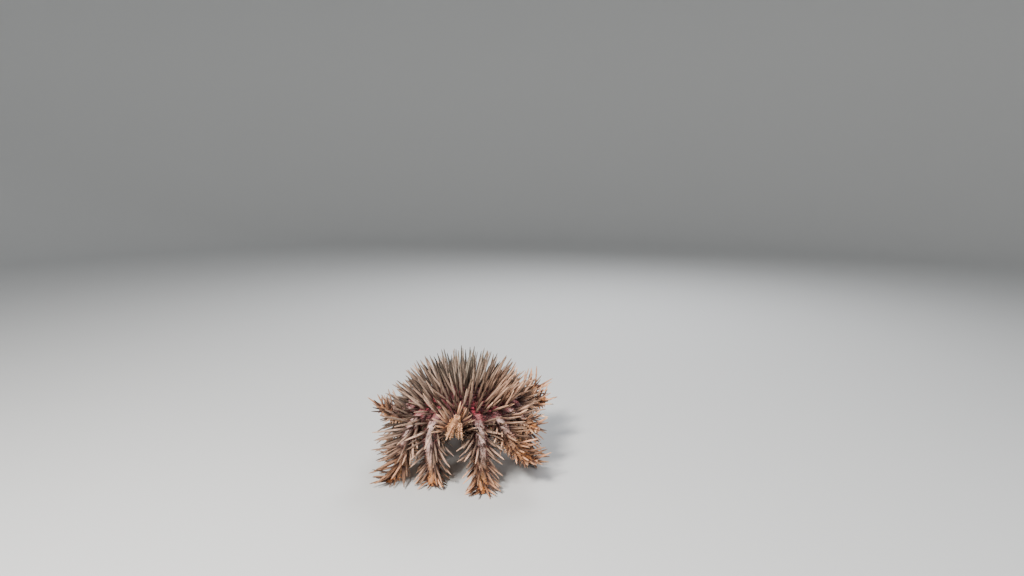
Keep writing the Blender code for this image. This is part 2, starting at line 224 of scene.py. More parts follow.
Arm = namedtuple("Arm", "heading length control tip_pitch turn reach")
ARMS = (
    Arm(-72.0, 0.082, None, 18, -24, 0.78),
    Arm(-94.5, 0.051, -60, -60, 38, 0.66),
    Arm(-117.0, 0.077, None, 18, 40, 0.78),
    Arm(-139.5, 0.086, None, 20, -26, 1.05),
    Arm(-162.0, 0.047, -45, -20, -50, 0.80),
    Arm(175.5, 0.078, None, 18, 10, 0.98),
    Arm(153.0, 0.085, None, 20, -8, 1.0),
    Arm(130.5, 0.088, None, 20, 6, 1.0),
    Arm(108.0, 0.084, None, 20, -5, 1.0),
    Arm(85.5, 0.088, None, 20, 8, 1.0),
    Arm(63.0, 0.084, None, 20, -6, 1.0),
    Arm(40.5, 0.066, -14, -22, 4, 1.0),
    Arm(18.0, 0.049, -8, -16, 8, 0.78),
    Arm(-4.5, 0.078, None, 18, -26, 0.76),
    Arm(-27.0, 0.042, 6, 2, -14, 0.72),
    Arm(-49.5, 0.069, 56, 10, 44, 0.76),
)

AXIS = Vector((DISC_X, DISC_Y, 0.0))
UP = Vector((0.0, 0.0, 1.0))

Station = namedtuple("Station", "centre ahead aside up share")
Spine = namedtuple("Spine", "root tip radius")


def flat_way(turn):
    return Vector((math.cos(turn), math.sin(turn), 0))


def unit(ways):
    return ways / np.linalg.norm(ways, axis=1)[:, None]


def ease(low, high, value):
    share = np.clip((value - low) / (high - low), 0, 1)
    return share * share * (3 - 2 * share)


def blend(first, second, share):
    share = np.asarray(share)[..., None]
    return np.asarray(first) * (1 - share) + np.asarray(second) * share


def add_object(name, data):
    obj = bpy.data.objects.new(name, data)
    bpy.context.scene.collection.objects.link(obj)
    return obj


def set_inputs(node, values):
    for name, value in values.items():
        node.inputs[name].default_value = value


# Arm centre lines, as in the part's source

def pitch_at(control, tip, share):
    left = 1 - share
    return left * left * ROOT_PITCH + 2 * left * share * control + share * share * tip


def drop_of(arm, control):
    tip = math.radians(arm.tip_pitch)
    step = arm.length / PATH_STEPS
    middles = ((i + 0.5) / PATH_STEPS for i in range(PATH_STEPS))
    return sum(step * math.sin(pitch_at(control, tip, share)) for share in middles)


def control_of(arm):
    if arm.control is not None:
        return math.radians(arm.control)
    low, high = 0.0, math.radians(165)
    for _ in range(40):
        middle = (low + high) / 2
        if drop_of(arm, middle) < ROOT_HEIGHT - FOOT_HEIGHT:
            low = middle
        else:
            high = middle
    return low


def path_of(arm):
    control = control_of(arm)
    tip = math.radians(arm.tip_pitch)
    heading = math.radians(arm.heading)
    centre = AXIS + flat_way(heading) * ROOT_RADIUS
    centre.z = ROOT_HEIGHT
    step = arm.length / PATH_STEPS
    stations = []
    for i in range(PATH_STEPS + 1):
        share = i / PATH_STEPS
        turned = heading + math.radians(arm.turn) * share * share
        pitch = pitch_at(control, tip, share)
        flat = flat_way(turned)
        ahead = flat * math.cos(pitch) - UP * math.sin(pitch)
        aside = UP.cross(flat)
        stations.append(Station(centre.copy(), ahead, aside, ahead.cross(aside), share))
        centre += ahead * step
    return stations


def station_at(path, share):
    return path[min(PATH_STEPS, max(0, round(share * PATH_STEPS)))]


def taper(share):
    return 1 - TAPER_EVEN * share - TAPER_CUBED * share**3


def dome_height(radius):
    return POLE_HEIGHT - DOME_DROP * (radius / DOME_RADIUS) ** 2


def dome_normal(x, y):
    slope = 2 * DOME_DROP / DOME_RADIUS**2
    return Vector((x * slope, y * slope, 1)).normalized()


# Places of the spines: first those of the solids, as in the part's source, then finer ones

def closest_gap(a, b):
    along_a, along_b, between = a.tip - a.root, b.tip - b.root, a.root - b.root
    aa, bb, ab = along_a.dot(along_a), along_b.dot(along_b), along_a.dot(along_b)
    ac, bc = along_a.dot(between), along_b.dot(between)
    spread = aa * bb - ab * ab
    on_a = min(1.0, max(0.0, (ab * bc - ac * bb) / spread)) if spread > 1e-12 else 0.0
    on_b = (ab * on_a + bc) / bb
    if not 0 <= on_b <= 1:
        on_b = min(1.0, max(0.0, on_b))
        on_a = min(1.0, max(0.0, (ab * on_b - ac) / aa))
    apart = (between + along_a * on_a - along_b * on_b).length
    return apart - a.radius * (1 - on_a) - b.radius * (1 - on_b)


def misses_spines(spine, others, clearance):
    reach = (spine.tip - spine.root).length
    middle = (spine.tip + spine.root) / 2
    for other in others:
        far = (reach + (other.tip - other.root).length) / 2 + 2 * SPINE_RADIUS
        if (middle - (other.tip + other.root) / 2).length > far:
            continue
        if closest_gap(spine, other) < clearance:
            return False
    return True


def misses_arms(spine, paths, own):
    reach = (spine.tip - spine.root).length
    for path in paths:
        middle = path[PATH_STEPS // 2].centre
        far = (path[-1].centre - path[0].centre).length
        if path is own or (spine.root - middle).length > reach + far:
            continue
        for share in SAMPLES:
            point = spine.root.lerp(spine.tip, share)
            thick = spine.radius * (1 - share) + SPINE_CLEARANCE
            if (point - path[0].centre).dot(path[0].ahead) < -thick:
                continue
            for station in path[:: PATH_STEPS // 15]:
                if (point - station.centre).length < taper(station.share) * HALF_WIDTH + thick:
                    return False
    return True


def misses_other_length(spine, path, station):
    side = 1 if station.share < SPLIT_AT else -1
    split = station_at(path, SPLIT_AT)
    for share in SAMPLES:
        thick = spine.radius * (1 - share)
        point = spine.root.lerp(spine.tip, share) + split.ahead * side * (thick + 2 * GAP)
        near = min(path, key=lambda place: (place.centre - point).length_squared)
        if (near.share - SPLIT_AT) * side <= 0:
            continue
        if (near.centre - point).length < taper(near.share) * HALF_WIDTH + thick + GAP:
            return False
    return True


def own_side(spine, paths, own):
    """True if the spine's tip is nearer its own arm than any other, or nearly so."""
    def away(path):
        return min((station.centre - spine.tip).length for station in path[:: PATH_STEPS // 10])

    mine = away(own)
    return all(away(path) > mine - SLACK for path in paths if path is not own)


def lifted(root, direction, length):
    lowest = (FLOOR_CLEARANCE - root.z) / length
    if direction.z >= lowest:
        return direction
    flat = Vector((direction.x, direction.y, 0)).normalized()
    return (flat * math.sqrt(max(0.0, 1 - lowest * lowest)) + UP * lowest).normalized()


def jittered(draw, direction):
    shake = Vector((draw.gauss(0, 1), draw.gauss(0, 1), draw.gauss(0, 1)))
    return (direction + shake * JITTER).normalized()


def plant(draw, skin_point, outward, direction, length, spines, paths, path=None, station=None,
          clearance=SPINE_CLEARANCE, size=1.0):
    """Adds a spine to spines, a little shorter at each try, or leaves it out where no room is."""
    radius = SPINE_RADIUS * (0.7 + 0.3 * length / DISC_SPINE_LENGTH) * size
    root = skin_point - outward * SPINE_SINK
    if root.z < radius + FLOOR_CLEARANCE:
        return
    for trial in range(TRIES):
        full = length * (1 - SHORTENING * trial) + SPINE_SINK
        aim = lifted(root, jittered(draw, direction), full)
        spine = Spine(root, root + aim * full, radius)
        if path and not own_side(spine, paths, path):
            continue
        if path and not misses_other_length(spine, path, station):
            continue
        if misses_spines(spine, spines, clearance) and misses_arms(spine, paths, path):
            spines.append(spine)
            return


def skin_at(station, degrees):
    turn = math.radians(degrees)
    across, high = -math.cos(turn), math.sin(turn)
    size = taper(station.share)
    sideways = station.aside * across
    upward = station.up * high
    point = station.centre + (sideways * HALF_WIDTH + upward * DORSAL_HEIGHT) * size
    return point, (sideways + upward).normalized()


def arm_lean(share):
    return LEAN_AT_ROOT + (LEAN_AT_TIP - LEAN_AT_ROOT) * share


def arm_reach(share, outward, station):
    reach = ARM_ROOT_LENGTH + (ARM_TIP_LENGTH - ARM_ROOT_LENGTH) * share
    return reach * (SIDE_SHARE + (1 - SIDE_SHARE) * outward.dot(station.up))


def row_spines(draw, arm, path, spines, paths):
    rows = round(arm.length / ARM_SPINE_PITCH)
    for row in range(rows):
        for degrees in CROSS_ROWS[row % 2]:
            station = station_at(path, min(0.96, (row + draw.uniform(0.45, 0.75)) / rows))
            point, outward = skin_at(station, degrees + draw.uniform(-ROW_TURN, ROW_TURN))
            reach = arm_reach(station.share, outward, station)
            reach *= arm.reach * draw.uniform(0.88, 1.08)
            aim = (outward + station.ahead * arm_lean(station.share)).normalized()
            plant(draw, point, outward, aim, reach, spines, paths, path, station)


def fan_spines(draw, path, spines, paths):
    end = path[-1]
    for aside, rise in END_FAN:
        aside, rise = math.radians(aside), math.radians(rise)
        aim = (end.ahead * math.cos(aside) + end.aside * math.sin(aside)) * math.cos(rise)
        aim = (aim + end.up * math.sin(rise)).normalized()
        point = station_at(path, FAN_FROM).centre + aim * SPINE_SINK
        reach = ARM_TIP_LENGTH * draw.uniform(0.7, 0.95)
        plant(draw, point, aim, aim, reach, spines, paths, path, end)


def arm_spines(draw, arm, path, spines, paths):
    first = len(spines)
    row_spines(draw, arm, path, spines, paths)
    fan_spines(draw, path, spines, paths)
    return spines[first:]


def extra_arm_spines(draw, arm, path, spines, paths):
    """Finer spines along an arm's sides, between those of the solids. The line along the middle
    of its back stays bare, except near the disc."""
    first = len(spines)
    rows = round(arm.length / EXTRA_ROWS_PITCH)
    for row in range(rows):
        for degrees in EXTRA_CROSS_ROWS[row % 2] + ((90,) if row == 0 else ()):
            share = min(0.97, (row + draw.uniform(0.1, 0.9)) / rows)
            station = station_at(path, share)
            point, outward = skin_at(station, degrees + draw.uniform(-ROW_TURN, ROW_TURN))
            lean = arm_lean(share)
            reach = arm_reach(share, outward, station)
            reach *= arm.reach * draw.uniform(0.55, 0.9)
            if 70 < degrees < 110:  # short and leaning far by the middle of the back
                reach *= 0.6
                lean *= 1.6
            aim = (outward + station.ahead * (lean + EXTRA_LEAN)).normalized()
            plant(draw, point, outward, aim, reach, spines, paths, path, station,
                  EXTRA_CLEARANCE, EXTRA_SIZE)
    return spines[first:]


def dome_place(radius, turn):
    """A point on the dome, the way out there, and the way a spine leans there."""
    x, y = radius * math.cos(turn), radius * math.sin(turn)
    point = AXIS + Vector((x, y, dome_height(radius)))
    outward = dome_normal(x, y)
    lean = Vector((x, y, 0)) / DISC_SPINE_REACH * DISC_LEAN
    return point, outward, (outward + lean).normalized()


def dome_spines(draw, spines, paths, spiral):
    first = len(spines)
    for i in range(spiral.count):
        radius = spiral.reach * math.sqrt((i + 0.5) / spiral.count)
        point, outward, aim = dome_place(radius, (i + spiral.shift) * GOLDEN_ANGLE + spiral.start)
        share = (radius / DISC_SPINE_REACH) ** 3
        reach = spiral.middle_length + (RIM_SPINE_LENGTH - spiral.middle_length) * share
        reach *= draw.uniform(*spiral.lengths)
        plant(draw, point, outward, aim, reach, spines, paths,
              clearance=spiral.clearance, size=spiral.size)
    return spines[first:]


def rim_spines(draw, spines, paths, fringe):
    first = len(spines)
    for i in range(fringe.count):
        turn = 2 * math.pi * (i + draw.uniform(*fringe.turns)) / fringe.count
        point, outward, _ = dome_place(fringe.radii[i % len(fringe.radii)], turn)
        aim = (flat_way(turn) + UP * draw.uniform(*fringe.rises)).normalized()
        reach = fringe.length * draw.uniform(*fringe.lengths)
        plant(draw, point, outward, aim, reach, spines, paths,
              clearance=fringe.clearance, size=fringe.size)
    return spines[first:]


# Skin

def skin_section(station, shift=0.0):
    """Outline of an arm's skin at a station: a round back, and a sole with its groove."""
    size = taper(station.share) * (END_SHARE if station.share >= 1 else 1)
    width = HALF_WIDTH * size - SKIN_DEPTH
    high = DORSAL_HEIGHT * size - SKIN_DEPTH
    deep = VENTRAL_DEPTH * size - SKIN_DEPTH
    fade = min(1.0, max(0.0, (GROOVE_LAST - station.share) / GROOVE_FADE))
    groove = (GROOVE_DEPTH + SOLE_GROOVE_EXTRA) * size * fade
    centre = station.centre + station.ahead * shift
    made = []
    for i in range(SKIN_POINTS):
        turn = 2 * math.pi * i / SKIN_POINTS
        across, up = -math.cos(turn), math.sin(turn)
        if up >= 0:
            aside, rise = across * width * BACK_FIT, up * high * BACK_FIT
        else:
            squared = math.copysign(abs(across) ** 0.8, across)
            dip = groove * math.exp(-((across * width / (SOLE_GROOVE_WIDTH * size)) ** 2))
            aside, rise = squared * width * SOLE_FIT, -deep * abs(up) ** 0.6 + dip
        point = centre + station.aside * aside + station.up * rise
        point.z = max(point.z, SKIN_DEPTH / 2)
        made.append(point)
    return made


def arm_skin(bm, path):
    rings = [skin_section(path[0], -INWARD)]
    rings += [skin_section(station) for station in path[::SKIN_STATIONS]]
    last = path[-1]
    tail = [last.centre.lerp(point, END_CAP[0]) + last.ahead * END_CAP[1] for point in rings[-1]]
    rings.append([Vector((p.x, p.y, max(p.z, SKIN_DEPTH / 2))) for p in tail])
    made = joined(bm, rings)
    bm.faces.new(made[0])
    bm.faces.new(list(reversed(made[-1])))


def turned(bm, profile, axis):
    """Rings round an axis from a profile of radius and height, with faces between them."""
    turns = [2 * math.pi * i / TURN_STEPS for i in range(TURN_STEPS)]
    return joined(bm, [[axis + Vector((radius * math.cos(t), radius * math.sin(t), height))
                        for t in turns] for radius, height in profile])


def joined(bm, rings):
    """Vertices for rings of points, with faces between them."""
    made = [[bm.verts.new(point) for point in ring] for ring in rings]
    for near, far in zip(made, made[1:]):
        for i in range(len(near)):
            after = (i + 1) % len(near)
            bm.faces.new((near[i], far[i], far[after], near[after]))
    return made


def disc_skin(bm):
    """The disc as a turned shape: its dome, its rim and its flat underside."""
    dome = [(r / 1000, dome_height(r / 1000) - SKIN_DEPTH * 1.5) for r in range(6, 57, 5)]
    rings = turned(bm, dome + list(DISC_EDGE), AXIS)
    top = bm.verts.new(AXIS + UP * (dome_height(0) - SKIN_DEPTH))
    bottom = bm.verts.new(AXIS + UP * SOLE_HEIGHT)
    for i in range(TURN_STEPS):
        after = (i + 1) % TURN_STEPS
        bm.faces.new((top, rings[0][i], rings[0][after]))
        bm.faces.new((bottom, rings[-1][after], rings[-1][i]))


def round_axis(points):
    """Distance from the disc's axis and turn round it, as seen from above."""
    x, y = points[:, 0] - DISC_X, points[:, 1] - DISC_Y
    return np.hypot(x, y), np.arctan2(y, x)


def shape_oral_side(points, normals):
    """Grooves of the tube feet that run from the arms to the mouth, and the mouth's hollow."""
    radius, turn = round_axis(points)
    under = (normals[:, 2] < -0.5) & (points[:, 2] > SOLE_HEIGHT - ORAL_BAND)
    under &= radius < ORAL_REACH
    for arm in ARMS:
        off = np.angle(np.exp(1j * (turn - math.radians(arm.heading))))
        aside = radius * np.sin(off)
        near = under & (np.abs(off) < 0.25)
        dip = ORAL_GROOVE * np.exp(-((aside / ORAL_GROOVE_WIDTH) ** 2))
        points[near, 2] += dip[near]
    points[under, 2] += MOUTH_DEPTH * ease(0, 1, 1 - radius[under] / MOUTH_RADIUS)


def wrinkle(points, normals, drawn):
    """Soft uneven swelling of the skin, a sum of slow waves along its normals."""
    swell = np.zeros(len(points))
    for _ in range(WAVES):
        way = drawn.normal(size=3)
        way /= np.linalg.norm(way)
        waves = drawn.uniform(*WAVE_TURNS)
        phase = drawn.uniform(0, 2 * math.pi)
        swell += np.sin(points @ way * waves + phase)
    points += normals * (swell * WAVE_HEIGHT - WAVE_INSET)[:, None]


def make_skin(paths):
    bm = bmesh.new()
    disc_skin(bm)
    for path in paths:
        arm_skin(bm, path)
    bmesh.ops.recalc_face_normals(bm, faces=bm.faces)
    mesh = bpy.data.meshes.new("skin")
    bm.to_mesh(mesh)
    bm.free()
    skin = add_object("skin", mesh)
    remesh = skin.modifiers.new("one surface", "REMESH")
    remesh.mode = "VOXEL"
    remesh.voxel_size = VOXEL
    smooth = skin.modifiers.new("blend", "SMOOTH")
    smooth.factor = 0.5
    smooth.iterations = SMOOTH_ROUNDS
    bpy.context.view_layer.update()
    graph = bpy.context.evaluated_depsgraph_get()
    made = bpy.data.meshes.new_from_object(skin.evaluated_get(graph))
    skin.modifiers.clear()
    skin.data = made
    points, normals = mesh_arrays(made)
    shape_oral_side(points, normals)
    wrinkle(points, normals, np.random.default_rng(SKIN_SEED))
    points[:, 2] = np.maximum(points[:, 2], SKIN_DEPTH / 2)
    made.vertices.foreach_set("co", points.ravel())
    made.update()
    made.shade_smooth()
    return skin


def mesh_arrays(mesh):
    arrays = []
    for name in ("co", "normal"):
        values = np.empty(len(mesh.vertices) * 3)
        mesh.vertices.foreach_get(name, values)
        arrays.append(values.reshape(-1, 3))
    return arrays


# Zones and markings, which skin and coat share

Zones = namedtuple("Zones", "arm along turn back middle groove radius flat_turn")
BLOCK = 4000  # points that are compared with the arms at a time


def zones_of(points, normals, paths):
    """Where each point lies on the body.

    arm and along say the nearest arm and the share of its length, below 0 over the disc. turn is
    the angle from the arm's back, back is 1 where the skin faces away from the mouth and -1 on
    the oral side, middle is 1 on the line along an arm's back and 0 at its sides, and groove is
    1 along the grooves of the tube feet.
    """
    stations = [(arm, place) for arm, path in enumerate(paths) for place in path[::2]]
    places = [(arm, place.share, place.aside, place.up, place.centre) for arm, place in stations]
    arms, shares, asides, ups, centres = (np.array(column) for column in zip(*places))
    nearest = np.empty(len(points), dtype=int)
    for start in range(0, len(points), BLOCK):
        block = points[start:start + BLOCK]
        away = ((block[:, None, :] - centres[None]) ** 2).sum(axis=2)
        nearest[start:start + BLOCK] = away.argmin(axis=1)
    arm, share, upward = arms[nearest], shares[nearest], ups[nearest]
    offset = points - centres[nearest]
    across = (offset * asides[nearest]).sum(axis=1)
    high = (offset * upward).sum(axis=1)
    radius, flat_turn = round_axis(points)
    over_disc = (radius < ROOT_RADIUS) & (points[:, 2] > DISC_LOWEST)
    along = np.where(over_disc, radius / ROOT_RADIUS - 1, share)
    back = np.where(over_disc, normals[:, 2], (normals * upward).sum(axis=1))
    middle = np.clip(1 - np.abs(across) / (HALF_WIDTH * taper(share)), 0, 1)
    headings = np.radians([place.heading for place in ARMS])[arm]
    off_groove = np.where(over_disc, radius * np.sin(flat_turn - headings), across)
    groove = np.exp(-((off_groove / GROOVE_STRIPE) ** 2))
    return Zones(arm, along, np.arctan2(across, high), back, middle, groove, radius, flat_turn)


MAROON = (0.082, 0.021, 0.025)
CRIMSON = (0.330, 0.028, 0.055)
GREY_PINK = (0.590, 0.410, 0.370)
OCHRE = (0.440, 0.220, 0.100)
ORANGE = (0.560, 0.220, 0.070)
RED_BROWN = (0.055, 0.020, 0.014)
ORAL_TAN = (0.470, 0.310, 0.190)
GROOVE_BROWN = (0.180, 0.075, 0.050)
GRAIN_PALE = (0.55, 0.36, 0.30)
# Dark foot of every spine: partly its own red-brown base, partly painted shade where the spines
# crowd on the skin.
SPINE_FOOT_TONE_AND_SHADE = (0.045, 0.016, 0.012)
PAPULA_RED = (0.26, 0.04, 0.055)
PAPULA_END = (0.30, 0.07, 0.07)
FOOT_TAN = (0.56, 0.36, 0.19)
FEELER_PALE = (0.80, 0.46, 0.30)
BLUNT_TAN = (0.46, 0.29, 0.17)
WARMTH = (0.2, 0.9, 0.0, 0.3, -0.3, 0.2, 0.1, 0.0, 0.2, 0.0, 0.1, 0.0, 0.5, 0.4, 0.1, 0.8)


def marking(zones):
    """Colour of the skin by zone: maroon disc, pale line along each arm, orange arm tips."""
    warm = np.array(WARMTH)[zones.arm]
    along = zones.along
    patches = 0.5 + 0.5 * np.cos(len(ARMS) * (zones.flat_turn - math.radians(ARMS[0].heading)))
    patches = ease(0.25, 0.9, patches) * ease(-0.45, -0.12, along)
    patches = patches * (0.55 + 0.45 * np.sin(5 * zones.flat_turn + 1.0))
    disc = blend(MAROON, CRIMSON, patches)
    line = blend(GREY_PINK, OCHRE, ease(0.30, 0.85, along + 0.25 * warm))
    sides = blend(RED_BROWN, OCHRE, ease(0.35, 1.1, along + 0.25 * warm) * 0.8)
    arm = blend(sides, line, ease(0.46, 0.78, zones.middle))
    arm = blend(arm, ORANGE, ease(0.72, 1.0, along + 0.12 * warm) * 0.9)
    colour = blend(disc, arm, ease(-0.06, 0.10, along))
    oral = blend(ORAL_TAN, ORANGE, ease(0.15, 0.8, along) * 0.6)
    oral = blend(oral, GROOVE_BROWN, zones.groove * 0.75)
    return blend(oral, colour, ease(-0.25, 0.15, zones.back))


def bake_place(zones):
    """The root's place on an unwrap of the skin: the disc from above and below, and each arm
    as a strip cut open along its sole."""
    disc = zones.along < 0
    spread = 0.18 * zones.radius / ROOT_RADIUS
    under = zones.back < 0
    u_disc = np.where(under, 0.62, 0.20) + spread * np.cos(zones.flat_turn)
    v_disc = 0.81 + spread * np.sin(zones.flat_turn)
    u_arm = (zones.arm % 4) * 0.25 + 0.02 + 0.21 * np.clip(zones.along, 0, 1)
    v_arm = (zones.arm // 4) * 0.15 + 0.075 + 0.06 * zones.turn / math.pi
    return np.where(disc, u_disc, u_arm), np.where(disc, v_disc, v_arm)


# Coat: many small tapered tubes joined in one mesh

# Rings of a tube: the share of its length and the thickness there
SPINE_RINGS = (
    (0.00, 1.55), (0.05, 1.60), (0.085, 1.30), (0.12, 1.08), (0.15, 1.12), (0.18, 0.98),
    (0.27, 1.00), (0.40, 1.00), (0.54, 0.95), (0.68, 0.84), (0.80, 0.70), (0.90, 0.52),
    (0.96, 0.34), (0.99, 0.17),
)
PAPULA_RINGS = ((0.0, 1.1), (0.35, 1.0), (0.7, 0.85), (0.93, 0.5))
GRANULE_RINGS = ((0.0, 1.2), (0.5, 1.0), (0.85, 0.6))
BLUNT_RINGS = ((0.0, 1.1), (0.15, 1.0), (0.5, 0.92), (0.8, 0.86), (0.95, 0.6))
FOOT_RINGS = (
    (0.0, 1.15), (0.25, 0.85), (0.55, 0.72), (0.80, 0.70), (0.86, 1.15), (0.94, 1.30), (1.0, 1.05),
)


def tube_points(roots, tips, radii, rings, sides, drawn, bend):
    """Points of uneven, slightly bent tubes: for each its rings, then its tip."""
    count = len(roots)
    along = tips - roots
    length = np.linalg.norm(along, axis=1)
    ahead = unit(along)
    other = np.where(np.abs(ahead[:, 2:3]) < 0.9, [[0, 0, 1.0]], [[1.0, 0, 0]])
    side = unit(np.cross(ahead, other))
    up = np.cross(ahead, side)
    turn = drawn.uniform(0, 2 * math.pi, count)
    lean = side * np.cos(turn)[:, None] + up * np.sin(turn)[:, None]
    lean *= (length * bend * drawn.uniform(0.2, 1.0, count))[:, None]
    angle = 2 * math.pi * np.arange(sides) / sides
    around = side[:, None] * np.cos(angle)[None, :, None]
    around += up[:, None] * np.sin(angle)[None, :, None]
    layers = []
    for share, size in rings:
        centre = roots + along * share + lean * (share * (1 - share) * 4)
        rough = radii[:, None] * size * drawn.uniform(0.93, 1.07, (count, sides))
        layers.append(centre[:, None] + around * rough[..., None])
    points = np.stack(layers, axis=1).reshape(count, -1, 3)
    return np.concatenate([points, tips[:, None]], axis=1)


def tube_faces(rings, sides):
    """Triangles of one tube, by the numbers of its points."""
    faces = []
    last = (len(rings) - 1) * sides
    for low in range(0, last, sides):
        high = low + sides
        for i in range(sides):
            after = (i + 1) % sides
            faces.append((low + i, low + after, high + after))
            faces.append((low + i, high + after, high + i))
    for i in range(sides):
        faces.append((last + i, last + (i + 1) % sides, last + sides))
    return np.array(faces)


def tufts(name, roots, tips, radii, rings, sides, drawn, bend, places, shafts, ends):
    """One mesh of many tapered tubes from roots to tips, each with its patch and its tints."""
    points = tube_points(roots, tips, radii, rings, sides, drawn, bend)
    count, per = points.shape[:2]
    faces = tube_faces(rings, sides)
    every = (faces[None] + (np.arange(count) * per)[:, None, None]).reshape(-1, 3)
    share = np.append(np.repeat([place for place, _ in rings], sides), 1.0)
    round_share = np.append(np.tile(np.arange(sides) / sides, len(rings)), 0.5)

    mesh = bpy.data.meshes.new(name)
    mesh.vertices.add(count * per)
    mesh.vertices.foreach_set("co", points.ravel())
    mesh.loops.add(every.size)
    mesh.loops.foreach_set("vertex_index", every.ravel().astype(np.int32))
    mesh.polygons.add(len(every))
    mesh.polygons.foreach_set("loop_start", np.arange(0, every.size, 3, dtype=np.int32))
    mesh.update(calc_edges=True)
    mesh.validate()
    layer = mesh.uv_layers.new(name="OFBake")
    patch_u = places[0][:, None] + PATCH * (round_share[None] - 0.5)
    patch_v = places[1][:, None] + PATCH * (share[None] - 0.5)
    uv = np.stack([patch_u, patch_v], axis=-1).reshape(-1, 2)
    layer.data.foreach_set("uv", uv[every.ravel()].ravel())
    from_root = mesh.attributes.new("from_root", "FLOAT", "POINT")
    length = np.linalg.norm(tips - roots, axis=1)
    from_root.data.foreach_set("value", np.outer(length / DISC_SPINE_LENGTH, share).ravel())
    toward_end = np.tile(ease(0.45, 1.0, share), count)
    add_tint(mesh, blend(np.repeat(shafts, per, axis=0), np.repeat(ends, per, axis=0), toward_end))
    mesh.shade_smooth()
    return add_object(name, mesh)


def tufts_by_arm(name, parts, where, roots, tips, radii, rings, drawn, bend, tints, ends):
    """The same as several meshes, each for some of the arms."""
    u, v = bake_place(where)
    groups = np.array_split(np.argsort(where.arm, kind="stable"), parts)
    return [tufts(f"{name}_{number}", roots[group], tips[group], radii[group], rings, 6, drawn,
                  bend, (u[group], v[group]), tints[group], ends[group])
            for number, group in enumerate(groups, 1)]


def add_tint(mesh, colours):
    tint = mesh.color_attributes.new("tint", "FLOAT_COLOR", "POINT")
    full = np.ones((len(colours), 4))
    full[:, :3] = np.clip(colours, 0, 1)
    tint.data.foreach_set("color", full.ravel())


# The middle of the disc gets darker olive shafts (SPINE_OLIVE) and dark ends (DARK_END): painted
# shade and a painted blue-green cast of light on the top of the dome.
SPINE_OLIVE = (0.400, 0.320, 0.250)
SPINE_TAN = (0.530, 0.365, 0.280)
SPINE_PEACH = (0.560, 0.300, 0.185)
SPINE_ORANGE = (0.720, 0.320, 0.150)
DARK_END = (0.105, 0.092, 0.058)
PALE_END = (0.880, 0.530, 0.330)
# Painted shade and painted light on the two sides of the body.
LEFT_PAINTED_SHADE = 0.42  # how much darker the spines are on the side at the photograph's left
RIGHT_PAINTED_LIGHT = 0.22  # how much lighter they are on the arms at its right


def spine_tints(zones, painted_shades, drawn):
    """Colours of each spine's shaft and end: olive with dark ends on the middle of the disc, tan
    with pale ends at its rim and on the arms, orange where the arms end. The olive and the dark
    ends are painted shade and a painted blue-green cast of light on the top of the dome. Painted
    shade also darkens the extra spines, those on one side and many at random; painted light warms
    and lightens the other side."""
    warm = np.array(WARMTH)[zones.arm]
    along = zones.along
    shaft = blend(SPINE_OLIVE, SPINE_TAN, ease(-1.0, -0.45, along))
    shaft *= (1 + 0.35 * ease(-0.75, -0.3, along) * ease(0.35, -0.05, along))[:, None]
    # Painted light: the shafts on the disc are warmed toward peach on the +x side, as if lit from
    # there.
    painted_warm_light = ease(-0.1, 0.9, np.cos(zones.flat_turn)) * ease(-0.8, -0.3, along)
    shaft = blend(shaft, SPINE_PEACH, np.maximum(ease(0.10, 0.70, along), painted_warm_light) * 0.75)
    shaft = blend(shaft, SPINE_ORANGE, ease(0.45, 1.0, along + 0.35 * warm) * 0.85)
    end = blend(DARK_END, PALE_END, ease(-0.65, 0.0, along))
    end = blend(shaft, end, 0.75 - 0.25 * ease(-0.6, 0.0, along))
    # Painted shade and painted light: the spines are darkened on the -x side and lightened on the
    # arms at +x, as if lit from +x.
    side = 1 - LEFT_PAINTED_SHADE * ease(0.5, 1.0, -np.cos(zones.flat_turn))
    side += RIGHT_PAINTED_LIGHT * ease(0.0, 0.9, np.cos(zones.flat_turn)) * ease(-0.3, 0.2, along)
    # Painted shade: each spine is darkened by a random share, skewed toward dark, so that many look
    # as if in the shadow of others; it also gives a real tone that differs from spine to spine.
    light = (painted_shades * side * (0.30 + 1.04 * drawn.uniform(0, 1, len(along)) ** 1.3))[:, None]
    return shaft * light, end * light


def spine_piece(name, planted, extra, paths, drawn):
    """The solids' spines and the extra ones between them, which are darker with painted shade, as
    one mesh.
    """
    roots, tips, radii = (np.array(column) for column in zip(*planted, *extra))
    painted_shades = np.append(np.ones(len(planted)), np.full(len(extra), EXTRA_PAINTED_SHADE))
    ways = unit(tips - roots)
    zones = zones_of(roots + ways * SPINE_SINK, ways, paths)
    return tufts(name, roots, tips, radii * DRAWN_THICKNESS, SPINE_RINGS, SPINE_SIDES, drawn,
                 SPINE_BEND, bake_place(zones), *spine_tints(zones, painted_shades, drawn))


def scatter(points, want, apart, drawn, allowed):
    """Picks points of the skin at random, none nearer than apart to another."""
    order = drawn.permutation(np.flatnonzero(allowed))
    taken = {}
    kept = []
    for index in order:
        point = points[index]
        cell = tuple(np.floor(point / apart).astype(int))
        near = [(cell[0] + i, cell[1] + j, cell[2] + k)
                for i in (-1, 0, 1) for j in (-1, 0, 1) for k in (-1, 0, 1)]
        close = (taken[key] for key in near if key in taken)
        if any(((point - other) ** 2).sum() < apart * apart for other in close):
            continue
        taken[cell] = point
        kept.append(index)
        if len(kept) == want:
            break
    return np.array(kept)


def shaken(points, normals, kept, drawn):
    """The kept points, each moved a little along the skin, so that no grid shows."""
    shake = drawn.normal(0, SCATTER_SHAKE, (len(kept), 3))
    across = (shake * normals[kept]).sum(axis=1)[:, None]
    return points[kept] + shake - normals[kept] * across


